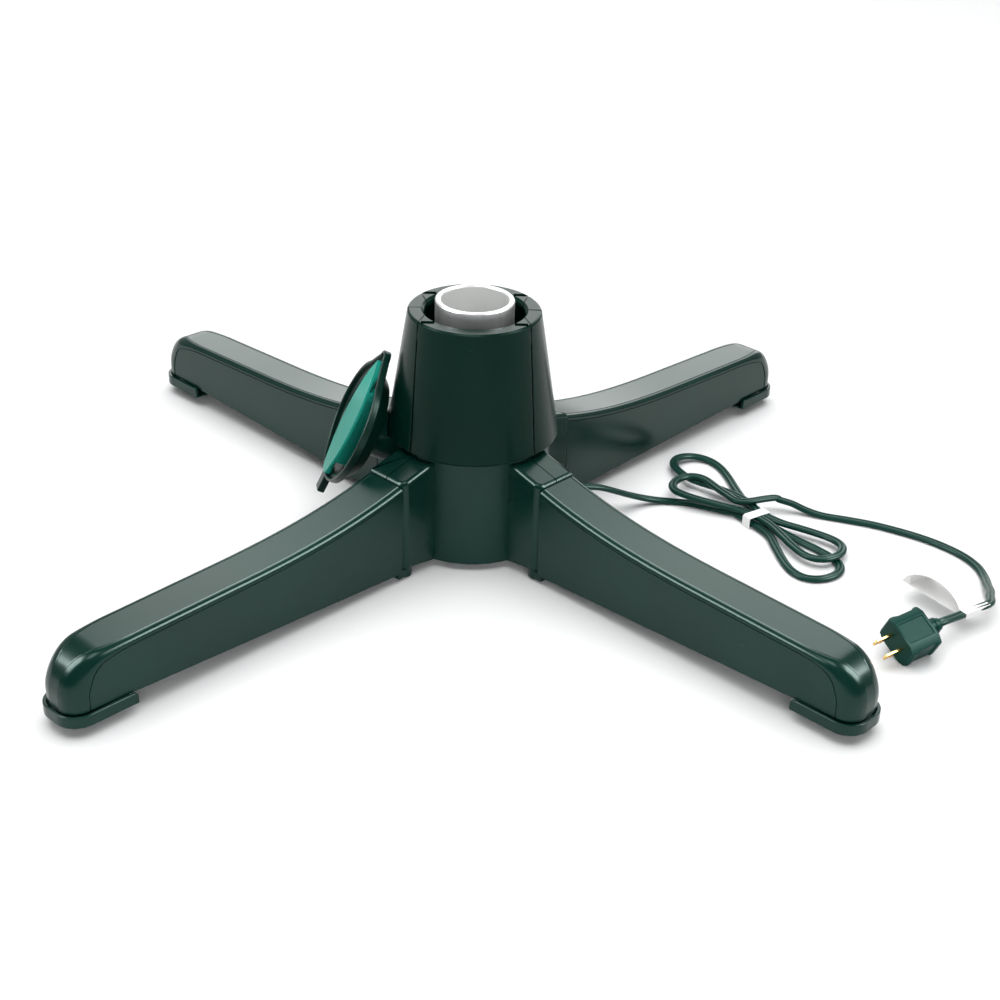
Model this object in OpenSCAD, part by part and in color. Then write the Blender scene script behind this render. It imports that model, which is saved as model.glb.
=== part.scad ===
/* [Tree tube] */
// Outer diameter of the metal tube that takes the tree pole
tube_od = 60; // [56:0.5:62]
// Wall of the metal tube
tube_wall = 4.5; // [3:0.5:6]
// Height of the tube rim above the floor
tube_top = 202; // [199:1:225]
// Height of the pole stop's top face above the floor
pole_stop_top = 70; // [62:1:110]

/* [Cone housing] */
// Radius of the cone at its foot
cone_bottom_r = 66.5; // [65:0.5:69]
// Radius of the cone at its top
cone_top_r = 50.5; // [49:0.5:56]
// Height of the cone's foot above the floor
cone_bottom = 95; // [91:0.5:98]
// Height of the cone's top ring above the floor
cone_top = 194; // [186:1:197]
// Wall of the cone panels
cone_wall = 2.5; // [2:0.1:3]
// Radius of the opening in the top ring
ring_opening_r = 38.3; // [37:0.1:42]
// Half width of the front and back panels at the top ring
seam_half_top = 41.5; // [38:0.5:44]
// Half width of the front and back panels at the foot
seam_half_foot = 47; // [45:0.5:50]
// Gap between neighbouring panels
seam_gap = 0.8; // [0.4:0.1:1.2]
// Width of the four clip slots in the top ring
clip_slot_w = 10; // [6:0.5:13]

/* [Hub] */
// Radius of the hub drum
hub_r = 61; // [59:0.5:63]
// Height of the hub's underside above the floor
hub_bottom = 6.5; // [6:0.1:8]
// Height of the hub's deck above the floor
hub_top = 93; // [91:0.5:94.5]
// Wall of the hub shells
hub_wall = 3; // [2.4:0.1:3.4]
// Distance from the turning axis to the end of each leg stub
stub_reach = 91; // [89:0.5:94]
// Width of the leg stubs
stub_w = 38; // [36:0.5:40]
// Slope of the stub tops, in degrees
stub_slope = 15; // [10:1:18]
// Height of the stub tops at the stub ends
stub_end_top = 83; // [79:0.5:84]
// Thickness of the bottom plate
plate_t = 3; // [2:0.5:4]

/* [Legs] */
// Distance from the turning axis to the tip of each leg
leg_reach = 381; // [350:1:410]
// Width of the legs
leg_w = 38; // [35:0.5:40]
// Wall of the legs
leg_wall = 3; // [2:0.1:4]
// Height of a leg's top where it meets the stub
leg_root_top = 81; // [77:0.5:82]
// Height of the middle of a leg's top
leg_mid_top = 61; // [56:0.5:64]
// Height of a leg's top above its foot
leg_tip_top = 57.5; // [52:0.5:60]
// Height of a leg's underside at the stub
leg_root_low = 2; // [1.5:0.1:3]
// Height of a leg's underside at the foot
leg_tip_low = 18; // [15:0.5:21]
// Radius of the nose at a leg's tip, seen from the side
nose_r = 30; // [20:1:34]
// How far a leg folds, in degrees
leg_fold = 45; // [20:1:45]
// Diameter of the hinge pins
pin_d = 6; // [4:0.5:7]
// Diameter of the hinge eye under each stub
eye_d = 12.5; // [11:0.5:14]

/* [Feet] */
// Length of each foot band along the leg
band_l = 50; // [44:1:60]
// Height of each foot band
band_h = 13; // [10:0.5:15]
// How far a foot band stands out from the leg
band_out = 2.6; // [2:0.1:4]
// Diameter of the foot pads
pad_d = 19; // [14:0.5:24]
// Height of the foot pads
pad_h = 5; // [4:0.5:7]

/* [Drive] */
// Tooth module of the drive gears
gear_module = 1.5;
// Teeth of the ring gear
ring_teeth = 60;
// Teeth of the motor pinion
pinion_teeth = 12;
// Height of the gears
gear_h = 6; // [4:0.5:7]
// Radius of the motor can
motor_r = 14.5; // [12:0.5:15]

/* [Mode dial] */
// Radius of the round part of the dial
dial_r = 50; // [46:0.5:52]
// Distance from the dial's centre to its pointed tip
dial_tip = 64; // [58:0.5:66]
// Depth of the dial dish
dial_depth = 16; // [13:0.5:17]
// Wall of the dial dish
dial_wall = 2.6; // [2:0.1:3.5]
// Half width of the coloured grip bar
grip_half_w = 19; // [12:0.5:22]

/* [Cord] */
// Width of the flat mains cord
cord_w = 6.6; // [6:0.1:6.8]
// Thickness of the flat mains cord
cord_t = 3.6; // [3:0.1:3.8]

/* [Hidden] */
$fn = 64;
eps = 0.01;
// clearances
fit = 0.05;        // running and seated fits
slack = 0.3;       // parts that only lie beside each other
skin = 0.5;        // gap between curved faces on different parts
past = 10;         // how far a cutting shape runs past what it cuts

tube_id = tube_od - 2 * tube_wall;

leg_angles = [45, 135, 225, 315];
quarter_angles = [0, 90, 180, 270];

// heights inside the hub
plate_top = hub_bottom + plate_t;
race_r = 20;
race_half_w = 6;
ball_r = 3;
ball_count = 12;
groove_r = ball_r + 0.1;
lower_race_z = plate_top;
race_h = 4;
race_gap = 3.2;
ball_z = lower_race_z + race_h + race_gap / 2;
upper_race_z = lower_race_z + race_h + race_gap;
table_z = upper_race_z + race_h;
table_floor = 9;
tube_bottom = table_z + table_floor;
table_wall = 6;
table_r = tube_od / 2 + table_wall;
table_top = 60;
gear_z = 46;
gear_seat_t = 2;
stop_r = tube_id / 2 - 1.5;

// gears
ring_pitch_r = gear_module * ring_teeth / 2;
pinion_pitch_r = gear_module * pinion_teeth / 2;
pinion_at = ring_pitch_r + pinion_pitch_r;
pressure = 25;
backlash = 0.3;
motor_angle = 45;
motor_at = pinion_at + 3;
motor_top = 34;
gearbox_top = 42;
shaft_r = 2.5;
lug_reach = motor_at + 20;
lug_edge = 3.5;
lug_screw_at = lug_reach - lug_edge;
lug_screw_side = 8.5;
lug_screw_l = 12;
lug_t = 2;

ring_root_r = ring_pitch_r - 1.15 * gear_module;
gear_screw_at = (table_r + ring_root_r) / 2;
gear_screw_r = 1;
gear_head_r = 1.7;
// how far the ring gear's nearest tooth lies from the motor's line, in teeth
ring_phase = motor_angle * ring_teeth / 360 - floor(motor_angle * ring_teeth / 360);

// bearing tower and its bush
tower_r = tube_od / 2 + 6;
tower_wall = 2.5;
tower_top = 172;
bush_h = 12;
bush_lip = 1.5;
bush_fit = 0.08;
tower_flange_r = 56;
tower_flange_t = 3;
deck_hole_r = tower_r - 2;

// control board
board_mid_x = -43.5;
board_z = 13;
board_t = 1.6;
board_w = 19;
board_l = 33;
board_post_x = 6;
board_post_y = 13;
board_post_r = 2.5;

// screws
screw_r = 1.5;
screw_head_r = 2.8;
screw_head_h = 1.8;
plate_screw_at = hub_r - hub_wall - 3.5;
plate_screw_turn = 24;
plate_screw_l = 16;
post_r = 4.4;
post_top = 30;
tower_screw_at = 50;

// hinge of each leg: the side of the leg that the pin is on, seen along the leg from the hub
pin_sides = [1, -1, 1, -1];
eye_inset = eye_d / 2 + 0.5;
pin_at = stub_reach - eye_inset;
pin_off = stub_w / 2 - eye_inset;
leg_start = stub_reach + 0.6;
eye_low = 1.5;
eye_top = hub_bottom - slack;
pin_top = 34;
pin_boss_r = pin_d / 2 + 2.5;

// feet
band_gap = 0.3;
band_low = pad_h - 0.5;
band_reach = leg_reach + band_gap + band_out;
pad_at = leg_reach - 27;
tip_round = 14;
stem_r = 4;

// mode dial: its axis leans up and turns towards the front
dial_lean = 25.3;
dial_turn = 8.6;
dial_at = [-95, 0, 98];
dial_floor = 2.6;
dial_back_r = dial_r - 12;
dial_tip_r = 7;
dial_lip = 6;
ear_w = 11;
ear_t = 6;
dial_tail = 64;
knob_shaft_r = 3;
switch_r = 8;
switch_l = 7;
pod_gap = 0.4;
pod_r = 20;
wire_r = 4;

// cord gland on the right
gland_turn = 15;
gland_z = 30;
gland_r = 6;
gland_flange_r = 9;
gland_flange_t = 2;
gland_l = 24;
gland_tip_r = 4.6;
gland_at = hub_r + gland_flange_t + gland_l;

// cord route: points chosen by hand, on the middle line of the cord
cord_z = cord_t / 2 + 0.1;
gland_exit = [gland_at * cos(gland_turn), gland_at * sin(gland_turn), gland_z];
lead_route = [
    [104, 29, 27], [116, 35, 21], [128, 42, 14], [140, 48, 8], [152, 52, 3.8], [165, 53, 1.9],
    [180, 51, 1.9], [194, 46, 1.9], [205, 40, 2.3], [214, 35, 2.8]
];
tail_route = [
    [258, 44, 9.8], [268, 42, 7.6], [279, 38, 4], [292, 33, 1.9], [310, 27, 1.9], [330, 20, 1.9],
    [348, 11, 1.9], [366, 0, 1.9], [382, -13, 1.9], [396, -29, 1.9], [404, -46, 1.9],
    [405.5, -63, 2.2], [403, -79, 4.8], [400, -94, 9.2], [395.5, -108, 13.2]
];

// hank: two turns drawn in at the waist, each turn with its own length and direction
hank_at = [236, 24];
// each lobe of the hank: reach from the waist, direction and bulge
hank_lobes = [[100, -64, 48], [116, -65, 48], [84, -50, 42], [80, -39, 40]];
hank_climbs = [[232, 290], [545, 595]];
waist_half = 3.8;
tie_lift = 0.9;
layer = 4.4;
hank_rings = 56;
hank_sides = 6;
cord_sides = 8;

// plug
plug_at = [308, -176];
plug_dir = 210;
plug_tilt = 5;
plug_roll = 28;
plug_w = 33;
plug_h = 22.8;
plug_l = 28;
plug_corner = [6, 6 * tan(plug_roll)];
plug_z = plug_w / 2 * sin(plug_roll) + (plug_h / 2 - plug_corner[1]) * cos(plug_roll);
plug_neck_l = 13;
plug_neck_r = 4.8;
tag_at = [366, -139, 16.5];
tag_dir = 33;
tag_w = 26;
tag_t = 0.5;
tag_reach = 58;
tag_rise = 14;
tag_tip = 13.5;
blade_gap = 12.7;
blade_w = 6.35;
blade_t = 1.5;
blade_l = 16;

green = [0.07, 0.19, 0.15];
black = [0.04, 0.05, 0.05];

// helpers
module ring(r_out, r_in, z, h) {
    translate([0, 0, z]) difference() {
        cylinder(r = r_out, h = h);
        translate([0, 0, -eps]) cylinder(r = r_in, h = h + 2 * eps);
    }
}

module at_leg(i) {
    rotate([0, 0, leg_angles[i]]) children();
}

module at_motor() {
    rotate([0, 0, motor_angle]) children();
}

// outline of the dial: a circle with a blunt tip, whose two sides start just inside both circles
module teardrop(r, tip_r, d) {
    a = acos((r - tip_r) / d) + 3;
    low = 0.97 * r;
    high = 0.85 * tip_r;
    circle(r = r, $fn = 96);
    translate([0, d]) circle(r = tip_r, $fn = 48);
    polygon([
        [low * sin(a), low * cos(a)], [high * sin(a), d + high * cos(a)],
        [-high * sin(a), d + high * cos(a)], [-low * sin(a), low * cos(a)]
    ]);
}

// places its children in the dial's own frame: +Z out of the dial, +Y up to its tip
module at_dial() {
    translate(dial_at)
        rotate([0, 0, dial_turn])
            rotate([90 - dial_lean, 0, -90])
                children();
}

function involute(a) = tan(a) * 180 / PI - a;
function flank_half(pitch_r, teeth, r) =
    let (base_r = pitch_r * cos(pressure), at = max(r, base_r + eps))
    90 / teeth - backlash / 4 / pitch_r * 180 / PI + involute(pressure)
    - involute(acos(base_r / at));

module gear_outline(teeth, turn = 0) {
    pitch_r = gear_module * teeth / 2;
    root_r = pitch_r - 1.15 * gear_module;
    tip_r = pitch_r + 0.8 * gear_module;
    radii = [root_r, pitch_r - 0.45 * gear_module, pitch_r + 0.2 * gear_module, tip_r];
    polygon([
        for (i = [0 : teeth - 1])
            for (k = [-4 : 4])
                if (k != 0)
                    let (
                        r = radii[k < 0 ? k + 4 : 4 - k],
                        a = turn + 360 * i / teeth + sign(k) * flank_half(pitch_r, teeth, r)
                    )
                    [r * cos(a), r * sin(a)]
    ]);
}

// hub
// plan of a stub along +X; its corner beside the hinge pin is round about the pin
module stub_plan(inset, side) {
    half = stub_w / 2 - inset;
    end = stub_reach - inset;
    corner = inset > 0 ? eye_inset - inset : eye_inset;
    plain = 2;
    translate([0, -half]) square([end - corner, 2 * half]);
    translate([0, side > 0 ? -half + plain : -half + corner])
        square([end, 2 * half - corner - plain]);
    translate([end - corner, side * (half - corner)]) circle(r = corner, $fn = 48);
    translate([end - corner - 1, side > 0 ? -half : half - plain - eps])
        square([corner + 1 - plain, plain + eps]);
    translate([end - plain, -side * (half - plain)]) circle(r = plain, $fn = 32);
}

stub_rise = stub_reach * tan(stub_slope);

module stub_solid(i, inset, low) {
    drop = inset > 0 ? hub_wall : 0;
    reach = 2 * stub_reach;
    intersection() {
        translate([0, 0, low]) linear_extrude(hub_top + stub_rise) stub_plan(inset, pin_sides[i]);
        translate([stub_reach, 0, stub_end_top - drop]) rotate([0, stub_slope, 0])
            translate([-reach, -stub_w, -reach]) cube([2 * reach, 2 * stub_w, reach]);
    }
}

module hub_outer() {
    difference() {
        union() {
            translate([0, 0, hub_bottom]) cylinder(r = hub_r, h = hub_top - hub_bottom, $fn = 128);
            for (i = [0 : 3]) at_leg(i) stub_solid(i, 0, hub_bottom + 0.5);
        }
        translate([0, 0, hub_top]) cylinder(r = 2 * hub_r, h = stub_rise);
    }
}

module hub_inner() {
    deck = hub_top - hub_wall;
    difference() {
        union() {
            translate([0, 0, hub_bottom - 1])
                cylinder(r = hub_r - hub_wall, h = deck - hub_bottom + 1, $fn = 128);
            for (i = [0 : 3])
                at_leg(i) stub_solid(i, hub_wall, hub_bottom - 2);
        }
        translate([0, 0, deck]) cylinder(r = 2 * hub_r, h = stub_rise);
    }
}

// one quarter of the plan, about the +X axis, less half the seam on each side
module quarter_wedge(h) {
    shift = seam_gap / 2 / sin(45);
    far = stub_reach + past;
    translate([shift, 0, 0]) linear_extrude(h) polygon([[0, 0], [far, -far], [far, far]]);
}

module hub_shell(angle) {
    difference() {
        intersection() {
            union() {
                difference() {
                    hub_outer();
                    hub_inner();
                }
                for (s = [-1, 1])
                    rotate([0, 0, angle + s * plate_screw_turn])
                        translate([plate_screw_at, 0, plate_top + slack])
                            cylinder(r = post_r, h = post_top - plate_top);
                for (i = [0 : 3])
                    at_leg(i) translate([pin_at, pin_sides[i] * pin_off, hub_bottom])
                        cylinder(r = pin_boss_r, h = pin_top + 2 - hub_bottom);
            }
            rotate([0, 0, angle]) quarter_wedge(hub_top + past);
        }
        translate([0, 0, hub_top - hub_wall - 1]) cylinder(r = deck_hole_r, h = hub_wall + 2);
        for (i = [0 : 3])
            at_leg(i) translate([pin_at, pin_sides[i] * pin_off, 0])
                cylinder(r = pin_d / 2 + fit, h = pin_top);
        for (s = [-1, 1])
            rotate([0, 0, angle + s * plate_screw_turn]) translate([plate_screw_at, 0, 0])
                cylinder(r = screw_r + fit, h = hub_bottom + plate_screw_l + 1);
        rotate([0, 0, angle]) translate([tower_screw_at, 0, hub_top - hub_wall - 1])
            cylinder(r = screw_r + fit, h = hub_wall + 2);
    }
}

module hub_front_shell() {
    color(green) hub_shell(270);
}

module hub_back_shell() {
    color(green) hub_shell(90);
}

module hub_right_shell() {
    color(green) difference() {
        hub_shell(0);
        rotate([0, 0, gland_turn]) translate([hub_r - 2 * hub_wall, 0, gland_z]) rotate([0, 90, 0])
            cylinder(r = gland_r + fit, h = 3 * hub_wall);
    }
}

module hub_left_shell() {
    color(green) difference() {
        hub_shell(180);
        at_dial() translate([0, 0, -60]) cylinder(r = wire_r, h = 40);
    }
}

module bottom_plate() {
    inset = hub_wall + slack;
    pin_clear = pin_boss_r + slack;
    color(green) difference() {
        union() {
            translate([0, 0, hub_bottom]) linear_extrude(plate_t) union() {
                circle(r = hub_r - inset, $fn = 128);
                for (i = [0 : 3])
                    rotate(leg_angles[i]) stub_plan(inset, pin_sides[i]);
            }
            for (x = [-1, 1], y = [-1, 1])
                translate([board_mid_x + x * board_post_x, y * board_post_y, plate_top - eps])
                    cylinder(r = board_post_r, h = board_z - plate_top + eps);
            at_motor() for (s = [-1, 1])
                translate([lug_screw_at, s * lug_screw_side, plate_top - eps])
                    cylinder(r = lug_edge, h = motor_top - plate_top + eps);
        }
        for (i = [0 : 3])
            at_leg(i) translate([pin_at, pin_sides[i] * pin_off, 0])
                cylinder(r = pin_clear, h = plate_top + 1);
        for (a = quarter_angles, s = [-1, 1])
            rotate([0, 0, a + s * plate_screw_turn]) translate([plate_screw_at, 0, 0]) {
                cylinder(r = screw_r + fit, h = plate_top + 1);
                cylinder(r = screw_head_r + fit, h = hub_bottom + screw_head_h);
            }
        at_motor() for (s = [-1, 1])
            translate([lug_screw_at, s * lug_screw_side, motor_top - lug_screw_l])
                cylinder(r = screw_r + fit, h = lug_screw_l + 1);
    }
}

module screw(l) {
    cylinder(r = screw_head_r, h = screw_head_h);
    cylinder(r = screw_r, h = l);
}

module plate_screws() {
    color("silver")
        for (a = quarter_angles, s = [-1, 1])
            rotate([0, 0, a + s * plate_screw_turn])
                translate([plate_screw_at, 0, hub_bottom]) screw(plate_screw_l);
}

// cone
function cone_r(z) =
    cone_bottom_r + (cone_top_r - cone_bottom_r) * (z - cone_bottom) / (cone_top - cone_bottom);

module cone_wall_solid() {
    ring_t = 3;
    lip = 2;
    edge = 1.2;
    foot_t = 3;
    foot_in = 8.5;
    rotate_extrude($fn = 128) polygon([
        [cone_bottom_r - foot_in, hub_top], [cone_bottom_r - 4, hub_top],
        [cone_bottom_r - 4, cone_bottom], [cone_bottom_r, cone_bottom],
        [cone_r(cone_top - edge), cone_top - edge], [cone_top_r - edge, cone_top],
        [ring_opening_r + lip, cone_top], [ring_opening_r, cone_top - lip],
        [ring_opening_r, cone_top - lip - ring_t], [cone_r(cone_top - 8) - cone_wall, cone_top - 8],
        [cone_r(cone_bottom + foot_t) - cone_wall, cone_bottom + foot_t],
        [cone_bottom_r - foot_in, cone_bottom + foot_t]
    ]);
}

// plan of the front panel's side: a line through the seam's ends at the foot and at the top ring
function seam_y(x, r) = sqrt(r * r - x * x);
seam_dx = (seam_half_foot - seam_half_top)
    / (seam_y(seam_half_foot, cone_bottom_r) - seam_y(seam_half_top, cone_top_r));
function seam_x(y) = seam_half_foot + (y - seam_y(seam_half_foot, cone_bottom_r)) * seam_dx;

module front_prism(gap) {
    far = cone_bottom_r + past;
    near = 6;
    linear_extrude(cone_top + past) polygon([
        [seam_x(near) - gap, -near], [seam_x(far) - gap, -far],
        [-seam_x(far) + gap, -far], [-seam_x(near) + gap, -near]
    ]);
}

module clip_slots() {
    slot_d = 5;
    slot_deep = 7;
    slot_x = seam_half_top - 2 - clip_slot_w / 2;
    slot_y = seam_y(seam_half_top, cone_top_r);
    for (a = [-1, 1], b = [-1, 1])
        translate([a * slot_x, b * slot_y, cone_top])
            cube([clip_slot_w, slot_d, 2 * slot_deep], center = true);
}

module cone_end_panel(side) {
    color(green) difference() {
        intersection() {
            cone_wall_solid();
            scale([1, side, 1]) front_prism(seam_gap / 2);
        }
        clip_slots();
    }
}

module cone_side_panel(side) {
    groove = 1.2;
    half_box = cone_bottom_r + past;
    color(green) difference() {
        intersection() {
            cone_wall_solid();
            translate([side > 0 ? 0 : -half_box, -half_box, 0])
                cube([half_box, 2 * half_box, cone_top + past]);
        }
        for (s = [-1, 1])
            scale([1, s, 1]) front_prism(-seam_gap / 2);
        clip_slots();
        translate([side * cone_top_r, 0, cone_top])
            cube([2 * (cone_top_r - ring_opening_r) + past, groove, 2 * groove], center = true);
    }
}

module cone_front_panel() {
    cone_end_panel(1);
}

module cone_back_panel() {
    cone_end_panel(-1);
}

module cone_left_panel() {
    cone_side_panel(-1);
}

module cone_right_panel() {
    cone_side_panel(1);
}

// bearing tower, bush and turning parts
module bearing_tower() {
    color(black) difference() {
        union() {
            ring(tower_flange_r, tower_r - tower_wall + 0.5, hub_top, tower_flange_t);
            ring(tower_r, tower_r - tower_wall, hub_top, tower_top - hub_top);
        }
        for (a = quarter_angles)
            rotate([0, 0, a]) translate([tower_screw_at, 0, hub_top - 1])
                cylinder(r = screw_r + fit, h = tower_flange_t + 2);
    }
}

module tower_screws() {
    color("silver")
        for (a = quarter_angles)
            rotate([0, 0, a])
                translate([tower_screw_at, 0, hub_top + tower_flange_t + screw_head_h])
                    rotate([180, 0, 0]) screw(screw_head_h + tower_flange_t + hub_wall + 2);
}

module tube_bush() {
    color("white") union() {
        ring(tower_r - tower_wall - fit, tube_od / 2 + bush_fit, tower_top - bush_h, bush_h);
        ring(tower_r - eps, tube_od / 2 + bush_fit, tower_top, bush_lip);
    }
}

module race(z) {
    difference() {
        ring(race_r + race_half_w, race_r - race_half_w, z, race_h);
        translate([0, 0, ball_z]) rotate_extrude() translate([race_r, 0]) circle(r = groove_r);
    }
}

module lower_race() {
    color("silver") race(lower_race_z);
}

module upper_race() {
    color("silver") race(upper_race_z);
}

module ball_cage() {
    cage_t = 1.4;
    color("gold") difference() {
        ring(race_r + 4.6, race_r - 4.6, ball_z - cage_t / 2, cage_t);
        for (i = [0 : ball_count - 1])
            rotate([0, 0, 360 * i / ball_count]) translate([race_r, 0, ball_z - 2])
                cylinder(r = ball_r + 0.06, h = 4);
    }
}

module bearing_balls() {
    color("silver")
        for (i = [0 : ball_count - 1])
            rotate([0, 0, 360 * i / ball_count]) translate([race_r, 0, ball_z]) sphere(r = ball_r);
}

module turntable() {
    disc_t = 5;
    color(black) difference() {
        union() {
            translate([0, 0, table_z]) cylinder(r = race_r + race_half_w, h = table_floor);
            translate([0, 0, table_z + disc_t])
                cylinder(r = table_r, h = table_top - table_z - disc_t);
            translate([0, 0, gear_z - gear_seat_t])
                cylinder(r = ring_root_r - slack, h = gear_seat_t);
        }
        translate([0, 0, tube_bottom]) cylinder(r = tube_od / 2 + fit, h = table_top);
        for (a = quarter_angles)
            rotate([0, 0, a + 45]) translate([gear_screw_at, 0, gear_z - gear_seat_t - 1])
                cylinder(r = gear_screw_r + fit, h = gear_seat_t + 2);
    }
}

module ring_gear() {
    color("white") difference() {
        translate([0, 0, gear_z]) linear_extrude(gear_h) gear_outline(ring_teeth);
        translate([0, 0, gear_z - 1]) cylinder(r = table_r + fit, h = gear_h + 2, $fn = 128);
        for (a = quarter_angles)
            rotate([0, 0, a + 45]) translate([gear_screw_at, 0, gear_z - 1])
                cylinder(r = gear_screw_r + fit, h = gear_h + 2);
    }
}

module gear_screws() {
    color("silver")
        for (a = quarter_angles)
            rotate([0, 0, a + 45])
                translate([gear_screw_at, 0, gear_z - gear_seat_t]) {
                    cylinder(r = gear_screw_r, h = gear_h + gear_seat_t + 1);
                    translate([0, 0, gear_h + gear_seat_t]) cylinder(r = gear_head_r, h = 1.4);
                }
}

module tree_tube() {
    rim = 1.4;
    color([0.75, 0.76, 0.78]) rotate_extrude($fn = 128) union() {
        translate([tube_id / 2, tube_bottom]) square([tube_wall, tube_top - tube_bottom - rim]);
        translate([tube_id / 2 + rim, tube_bottom])
            square([tube_wall - 2 * rim, tube_top - tube_bottom]);
        translate([stop_r, tube_bottom])
            square([tube_id / 2 - stop_r + rim, pole_stop_top - tube_bottom]);
        for (x = [tube_id / 2 + rim, tube_od / 2 - rim])
            translate([x, tube_top - rim]) circle(r = rim, $fn = 32);
    }
}

// the stop sits in the narrower foot of the bore
module pole_stop() {
    color(black) translate([0, 0, tube_bottom])
        cylinder(r = stop_r - fit, h = pole_stop_top - tube_bottom);
}

// drive
module motor_can() {
    color("silver") at_motor() translate([motor_at, 0, plate_top])
        cylinder(r = motor_r, h = motor_top - plate_top);
}

module gearbox() {
    lug_half = lug_screw_side + lug_edge;
    color("gray") at_motor() difference() {
        union() {
            translate([motor_at, 0, motor_top]) cylinder(r = motor_r, h = gearbox_top - motor_top);
            translate([motor_at, -lug_half, motor_top])
                cube([lug_reach - motor_at, 2 * lug_half, lug_t]);
            translate([pinion_at, 0, gearbox_top - eps]) cylinder(r = shaft_r + 1.5, h = 1.5);
        }
        translate([pinion_at, 0, motor_top + 1]) cylinder(r = shaft_r + fit, h = 12);
        for (s = [-1, 1])
            translate([lug_screw_at, s * lug_screw_side, motor_top - 1])
                cylinder(r = screw_r + fit, h = lug_t + 2);
    }
}

module gearbox_screws() {
    color("silver") at_motor() for (s = [-1, 1])
        translate([lug_screw_at, s * lug_screw_side, motor_top + lug_t + screw_head_h])
            rotate([180, 0, 0]) screw(screw_head_h + lug_screw_l);
}

module output_pinion() {
    color("white") at_motor() translate([pinion_at, 0, 0]) {
        translate([0, 0, gear_z - 1]) linear_extrude(gear_h + 2)
            gear_outline(pinion_teeth, 180 - (0.5 - ring_phase) * 360 / pinion_teeth);
        translate([0, 0, motor_top + 1.5]) cylinder(r = shaft_r, h = gear_z + gear_h - motor_top);
    }
}
// electrics

module control_board() {
    color("darkgreen") translate([board_mid_x - board_w / 2, -board_l / 2, board_z])
        cube([board_w, board_l, board_t]);
}

module board_parts() {
    top = board_z + board_t;
    color("dimgray") {
        translate([board_mid_x - 8, -16, top]) cube([9, 12, 8]);
        translate([board_mid_x - 8, 6, top]) cube([8, 10, 9]);
        translate([board_mid_x + 4.5, -10, top]) cylinder(r = 3.2, h = 9);
        translate([board_mid_x + 4.5, 9, top]) cylinder(r = 3.2, h = 9);
        translate([board_mid_x - 5, -1, top]) cylinder(r = 2.5, h = 6);
    }
}

// mode dial
module dial_dish() {
    lift = dial_depth - dial_floor;
    color(black) at_dial() difference() {
        union() {
            translate([0, 0, -dial_depth])
                cylinder(r1 = dial_back_r, r2 = dial_r - 2, h = dial_depth - dial_lip, $fn = 96);
            translate([0, 0, -dial_lip]) linear_extrude(dial_lip)
                teardrop(dial_r, dial_tip_r, dial_tip - dial_tip_r);
            translate([-ear_w / 2, -dial_tail, -dial_lip])
                cube([ear_w, dial_tail - dial_r + 4, ear_t]);
        }
        translate([0, 0, -dial_depth + dial_floor])
            cylinder(r1 = dial_back_r - dial_wall, r2 = dial_r - 2 - dial_wall, h = lift, $fn = 96);
        translate([0, 0, -dial_lip + dial_wall]) linear_extrude(dial_lip)
            teardrop(dial_r - dial_wall, dial_tip_r - dial_wall, dial_tip - dial_tip_r);
        translate([0, 0, -dial_depth - 1]) cylinder(r = knob_shaft_r + fit, h = dial_floor + 2);
    }
}

module dial_grip() {
    top = 1.5;
    room = dial_back_r - dial_wall - 0.5;
    lip_room = dial_lip - dial_wall - 0.5;
    half_l = dial_tip - 9;
    arc_r = (half_l * half_l + grip_half_w * grip_half_w) / (2 * grip_half_w);
    color([0.14, 0.55, 0.47]) at_dial() difference() {
        intersection() {
            union() {
                translate([0, 0, -dial_depth + dial_floor]) linear_extrude(dial_depth - dial_floor + top)
                    circle(r = room, $fn = 96);
                translate([0, 0, -lip_room]) linear_extrude(lip_room + top) teardrop(
                    dial_r - dial_wall - 0.5, dial_tip_r - dial_wall - 0.5, dial_tip - dial_tip_r
                );
            }
            translate([0, 0, -dial_depth]) linear_extrude(2 * dial_depth) intersection() {
                translate([arc_r - grip_half_w, 0]) circle(r = arc_r, $fn = 128);
                translate([grip_half_w - arc_r, 0]) circle(r = arc_r, $fn = 128);
            }
        }
        translate([0, 0, -dial_depth]) cylinder(r = knob_shaft_r + fit, h = dial_depth - 3);
    }
}

module dial_shaft() {
    color("silver") at_dial() translate([0, 0, -dial_depth - pod_gap - switch_l + 1])
        cylinder(r = knob_shaft_r, h = dial_depth + pod_gap + switch_l - 5);
}

module mode_switch() {
    color("dimgray") at_dial() difference() {
        translate([0, 0, -dial_depth - pod_gap - switch_l]) cylinder(r = switch_r, h = switch_l);
        translate([0, 0, -dial_depth - pod_gap - switch_l + 0.8])
            cylinder(r = knob_shaft_r + fit, h = switch_l);
    }
}

module selector_pod() {
    back = dial_depth + pod_gap;
    reach = 50;
    color(green) difference() {
        at_dial() translate([0, 0, -back - reach]) cylinder(r = pod_r, h = reach);
        rotate_extrude($fn = 128) polygon([
            [0, hub_bottom], [hub_r + fit, hub_bottom], [hub_r + fit, hub_top - 1],
            [cone_bottom_r + skin, hub_top - 1], [cone_bottom_r + skin, cone_bottom],
            [cone_top_r + skin, cone_top], [0, cone_top]
        ]);
        at_dial() {
            translate([0, 0, -back - switch_l - 0.1]) cylinder(r = switch_r + fit, h = switch_l + 1);
            translate([0, 0, -back - reach]) cylinder(r = wire_r, h = reach);
        }
    }
}

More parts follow.
